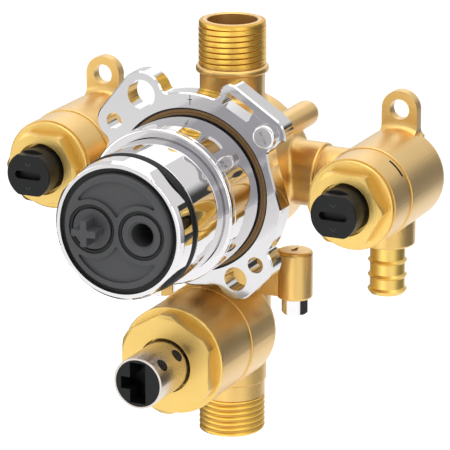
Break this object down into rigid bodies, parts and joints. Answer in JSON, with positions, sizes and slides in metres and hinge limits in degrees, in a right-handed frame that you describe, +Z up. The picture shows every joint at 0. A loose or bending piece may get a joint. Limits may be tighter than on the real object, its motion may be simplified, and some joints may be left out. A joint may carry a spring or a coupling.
{
  "type": "shower rough-in valve",
  "caption": "Cast brass tub and shower rough-in valve with chrome mounting plate and cartridge sleeve, screwdriver stops, barbed inlets, threaded outlets and a front diverter.",
  "frame": {"origin": "where the cartridge axis meets the front face of the mounting plate", "axes": "-Y out of the wall along the cartridge axis, +X to the right, +Z up towards the shower outlet"},
  "size_m": [0.1342, 0.1014, 0.1364],
  "materials": {
    "cast_brass": "satin cast and brazed brass",
    "turned_brass": "fine turned brass",
    "chrome": "bright chrome plating on brass",
    "steel": "zinc plated steel",
    "black_plastic": "black moulded acetal",
    "grey_plastic": "dark grey moulded plastic",
    "rubber": "black nitrile rubber",
    "white_plastic": "white seat plastic"
  },
  "bodies": {
    "valve": {"valve_body": "cast_brass", "mounting_plate": "chrome", "upper_plate_screw": "steel", "lower_plate_screw": "steel", "cartridge_sleeve": "chrome", "bonnet_gasket": "rubber", "bonnet_nut": "chrome", "flush_plug": "grey_plastic", "plug_cap": "grey_plastic", "plug_seal": "rubber", "plug_port_seals": "rubber", "diverter_nut": "turned_brass", "left_stop_body": "cast_brass", "left_inlet_barb": "turned_brass", "left_stop_nut": "turned_brass", "left_stop_seat": "white_plastic", "left_side_plug": "chrome", "left_side_plug_seal": "rubber", "right_stop_body": "cast_brass", "right_inlet_barb": "turned_brass", "right_stop_nut": "turned_brass", "right_stop_seat": "white_plastic", "right_side_plug": "chrome", "right_side_plug_seal": "rubber"},
    "left_stop": {"left_stop_stem": "black_plastic", "left_stop_ball": "chrome", "left_stop_oring": "rubber"},
    "right_stop": {"right_stop_stem": "black_plastic", "right_stop_ball": "chrome", "right_stop_oring": "rubber"},
    "diverter": {"diverter_stem": "chrome", "diverter_insert": "black_plastic", "diverter_spool": "turned_brass", "diverter_oring": "rubber"}
  },
  "joints": [
    {"name": "left_stop_turn", "type": "hinge", "parent": "valve", "child": "left_stop", "pos_m": [-0.0522, 0.01, 0.0005], "axis": [0, 1, 0], "range_deg": [0, 90]},
    {"name": "right_stop_turn", "type": "hinge", "parent": "valve", "child": "right_stop", "pos_m": [0.0522, 0.01, 0.0005], "axis": [0, 1, 0], "range_deg": [0, 90]},
    {"name": "diverter_turn", "type": "hinge", "parent": "valve", "child": "diverter", "pos_m": [0, -0.007, -0.0518], "axis": [0, 1, 0], "range_deg": [0, 90]}
  ]
}
